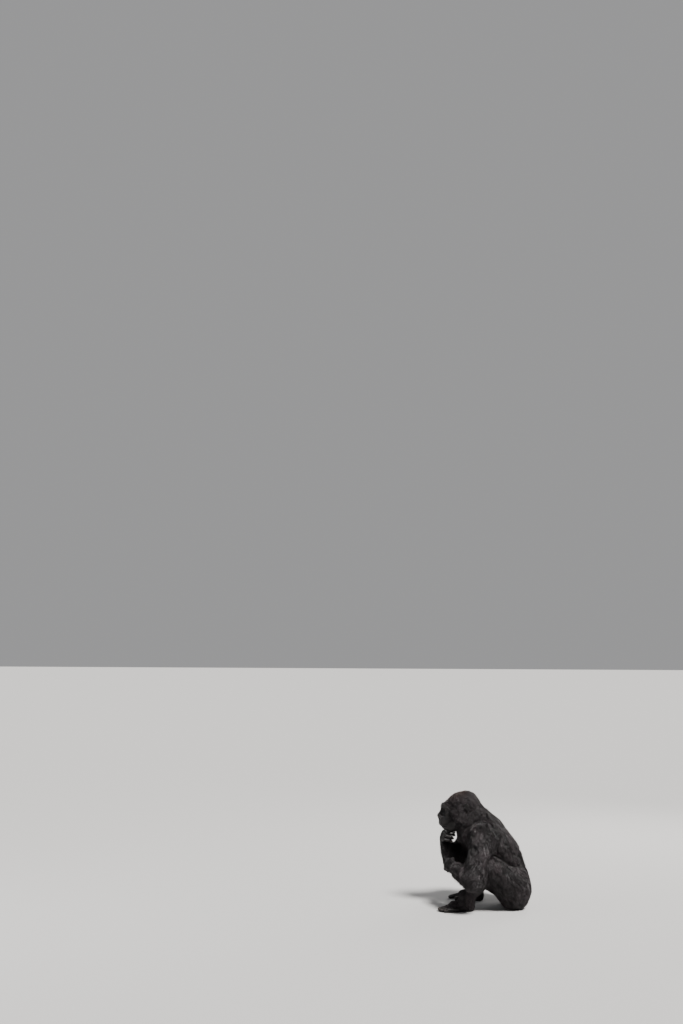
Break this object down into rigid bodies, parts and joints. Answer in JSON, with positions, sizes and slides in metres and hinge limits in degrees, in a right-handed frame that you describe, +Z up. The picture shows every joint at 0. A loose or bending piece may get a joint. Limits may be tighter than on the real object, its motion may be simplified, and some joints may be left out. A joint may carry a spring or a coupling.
{
  "type": "gorilla",
  "caption": "Adult gorilla sitting on its rump as a still, life-size figure: knees raised, head bowed, far hand at the mouth and near forearm across the belly.",
  "frame": {"origin": "middle of the animal's box, on the floor that it sits on", "axes": "+Z up; the animal faces -Y, and its left side is towards +X"},
  "size_m": [0.7549, 0.6406, 0.7754],
  "materials": {
    "coat": "matte",
    "skin": "satin",
    "eye": "wet gloss"
  },
  "bodies": {
    "root": {"head": "coat", "neck": "coat", "chest": "coat", "pelvis": "coat", "upper_arm_L": "coat", "forearm_L": "coat", "hand_L": "coat", "thigh_L": "coat", "shank_L": "coat", "foot_L": "coat", "upper_arm_R": "coat", "forearm_R": "coat", "hand_R": "coat", "thigh_R": "coat", "shank_R": "coat", "foot_R": "coat", "ear_L": "skin", "ear_R": "skin", "fingers_L": "skin", "fingers_R": "skin", "toes_L": "skin", "toes_R": "skin", "great_toe_L": "skin", "great_toe_R": "skin", "eye_L": "eye", "eye_R": "eye"}
  },
  "joints": []
}
